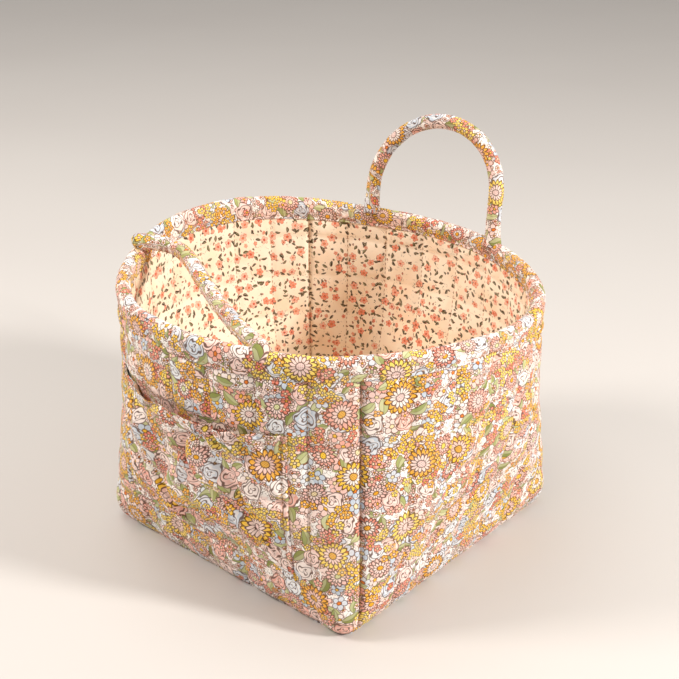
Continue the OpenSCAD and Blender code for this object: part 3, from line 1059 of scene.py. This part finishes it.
u_round = np.linspace(0, 1, 1000)
binding_runs = [binding_line(u_round, BINDING_STITCH, inside) for inside in (False, True)]
dress(stitches("binding_stitches", binding_runs, pitch=3.0 * MM), "thread", "binding_thread")


# ------------ rope handles
ROPE_R = 4.9 * MM
CORE_R = 3.6 * MM
BACK_SPAN, BACK_RISE, BACK_LEAN = 96 * MM, 58 * MM, math.radians(13)
FRONT_SPAN = 170 * MM


def around(point):
    """Share of the way round the rim of a point."""
    return (math.atan2(point[1], point[0]) + math.pi / 2) / TAU


def rounded(points, count, rounds=3):
    """A smooth path near the points, evenly spaced."""
    path = np.asarray(points, float)
    for _ in range(rounds):
        mid = 0.75 * path[:-1] + 0.25 * path[1:], 0.25 * path[:-1] + 0.75 * path[1:]
        path = np.concatenate([path[:1], np.stack(mid, 1).reshape(-1, 3), path[-1:]])
    dist = length_along(path)
    at = np.linspace(0, dist[-1], count)
    return np.stack([np.interp(at, dist, path[:, k]) for k in range(3)], -1)


def rim_point(axis_point, height):
    """The binding's middle line beside a point, height above its rounded top."""
    u = around(axis_point)
    out = unit(np.array([axis_point[0], axis_point[1], 0]))
    reach = RIM_MID + float(sway(u, WALL_TOP))
    return out * reach + UP * (RIM_TOP + float(rim_rise(u)) + height)


def hinge(name, span):
    """A handle's hinge: its middle, its direction, and its two sewn ends."""
    pivot = np.array(JOINTS[name]["pos_m"])
    axis = np.array(JOINTS[name]["axis"], float)
    return pivot, axis, pivot - axis * span / 2, pivot + axis * span / 2


def sewn_foot(base):
    """Where a handle comes up out of the binding."""
    return [rim_point(base, lift * MM) for lift in (-4, -1, 3)]


def back_path():
    """A standing arch that leans outwards."""
    pivot, axis, left, right = hinge("back_handle_swing", BACK_SPAN)
    lean = UP * math.cos(BACK_LEAN) + np.cross(UP, axis) * math.sin(BACK_LEAN)
    half = BACK_SPAN / 2
    arch = []
    for turn in np.linspace(0, math.pi, 19):
        lift = BACK_RISE - half + half * math.sin(turn)
        shift = half * math.cos(turn) + 3.5 * MM * math.sin(turn)
        arch.append(pivot + axis * shift + lean * lift)
    return rounded(sewn_foot(right) + arch + sewn_foot(left)[::-1], 150), pivot


def front_path():
    """A slack arch that falls into the basket: in from its left end, then along to its right."""
    pivot, axis, left, right = hinge("front_handle_swing", FRONT_SPAN)
    inward = np.cross(UP, axis)
    end = rim_point(right, 1.2 * MM)
    points = [left - inward * 2 * MM - UP * MM, left - UP * 0.5 * MM, left + inward * 3.5 * MM]
    for share in np.linspace(0.045, 0.955, 17):
        reach = 27.5 * MM * (1 - share) ** 1.2 * (1 - math.exp(-share / 0.055))
        sag = 7.5 * MM * math.sin(math.pi * share) ** 0.8
        points.append(left * (1 - share) + end * share + inward * (reach + 2 * MM) - UP * sag)
    points += [rim_point(right, -0.5 * MM) + inward * MM, rim_point(right, -4.5 * MM)]
    return rounded(points, 170), right, axis


def flared(path, radius, flare, round_start):
    """Radius along a handle, wider at its sewn ends, or rounded off at the start."""
    dist = length_along(path)
    end = np.minimum(dist, dist[-1] - dist)
    uneven = 0.025 * noise(dist / 0.012, 0 * dist, 41)
    size = radius * (1 + flare * np.exp(-(end / 6e-3) ** 2) + uneven)
    if round_start:
        size = size * np.sqrt(1 - np.clip(1 - dist / radius, 0, 0.995) ** 2)
    return size


def rope_core(name, path):
    """Three strands laid round each other."""
    dist = length_along(path)
    fine = rounded(path[6:-4], 260, 1)
    core = tube(name, fine, CORE_R, 24)
    co = np.empty(len(core.data.vertices) * 3)
    core.data.vertices.foreach_get("co", co)
    co = co.reshape(-1, 3)
    near = np.array([np.argmin(((fine - p) ** 2).sum(1)) for p in co])
    axis = unit(np.gradient(fine, axis=0))[near]
    arm = co - fine[near]
    side = unit(np.cross(axis, ASLANT))
    turn = np.arctan2((arm * np.cross(side, axis)).sum(1), (arm * side).sum(1))
    run = near / len(fine) * dist[-1]
    groove = np.abs(np.sin(1.5 * (turn + TAU * run / 0.03))) ** 0.5
    co = fine[near] + arm * (0.86 + 0.14 * groove)[:, None]
    core.data.vertices.foreach_set("co", co.ravel())
    core.data.update()
    return core


def handle(side, path, cloth_start, flare, round_start=False):
    """A covered rope along a path."""
    radius = flared(path, ROPE_R, flare, round_start)
    cover = tube(side + "_handle_cloth", path, radius, 40, cloth_start, wrinkle=0.2 * MM, seed=43,
                 wall=COTTON_T)
    dress(cover, "outer_print", body=None)
    core = rope_core(side + "_handle_core", path)
    dress(core, "rope", body=None)
    for piece in (cover, core):
        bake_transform(piece)
    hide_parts(side + "_handle_cover", side + "_handle_necks")
    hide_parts(side + "_handle_rope")
    return cover, core, path


path, pivot = back_path()
back_handle = handle("back", path, 0.52, 0.3)
path, near_end, axis = front_path()
front_handle = handle("front", path, 0.83, 0.14, round_start=True)

ends = [path[k] for cover, core, path in (back_handle, front_handle) for k in (0, -1)]
tack_runs = []
for middle in map(around, ends):
    spread = 5 * MM / (TAU * RIM_MID)
    for row in range(4):
        height = BINDING_LOW + (4.5 + 1.6 * row) * MM
        places = np.linspace(middle - spread, middle + spread, 30)
        tack_runs.append(binding_line(places, height, True))
tacks = stitches("handle_bar_tacks", tack_runs, pitch=2.2 * MM, share=0.95)
dress(tacks, "thread", "handle_tacks")


# ------------ camera, floor and light
def look(obj, place, aim):
    """Stands a camera or a light at a place, turned to a point."""
    obj.location = place
    obj.rotation_euler = (Vector(aim) - Vector(place)).to_track_quat("-Z", "Y").to_euler()


def camera():
    """The photograph's viewpoint."""
    data = bpy.data.cameras.new("camera")
    data.lens = 65.4
    data.sensor_width = 36
    data.clip_start = 0.01
    cam = add_object("camera", data)
    look(cam, (0.4732, -0.5285, 0.4514), (0.0040, 0.0036, 0.1243))
    bpy.context.scene.camera = cam


def soft_light(name, place, size, power, tint):
    """A round area light turned to the middle of the basket."""
    data = bpy.data.lights.new(name, "AREA")
    data.shape = "DISK"
    data.size = size
    data.energy = power
    data.color = tint
    look(add_object(name, data), place, (0, 0, 0.09))


def stage():
    """A plain pale floor."""
    half = 14.0
    rows = 24
    line = np.linspace(-half, half, rows)
    gx, gy = np.meshgrid(line, line)
    pts = np.stack([gx, gy, np.zeros_like(gx)], -1)
    obj = new_object("floor", pts.reshape(-1, 3), grid_faces(rows, rows))
    paint = Paint("floor")
    tone = paint.mix(colour("d3d0cd"), colour("cdc9c6"), paint.grain(3))
    obj.data.materials.append(paint.finished(tone, Roughness=0.65))


camera()
stage()
soft_light("key", (1.45, 0.45, 1.02), 0.3, 30, (1.0, 0.96, 0.91))
soft_light("fill", (-1.0, -1.05, 1.35), 0.5, 20, (1.0, 0.93, 0.86))
soft_light("top", (-0.35, -0.1, 1.6), 1.0, 8, (1.0, 0.95, 0.89))
bpy.context.scene.view_settings.view_transform = "Standard"
world = bpy.data.worlds.new("world")
bpy.context.scene.world = world
world.use_nodes = True
background = world.node_tree.nodes["Background"].inputs
background["Color"].default_value = (1.0, 0.95, 0.9, 1)
background["Strength"].default_value = 0.48
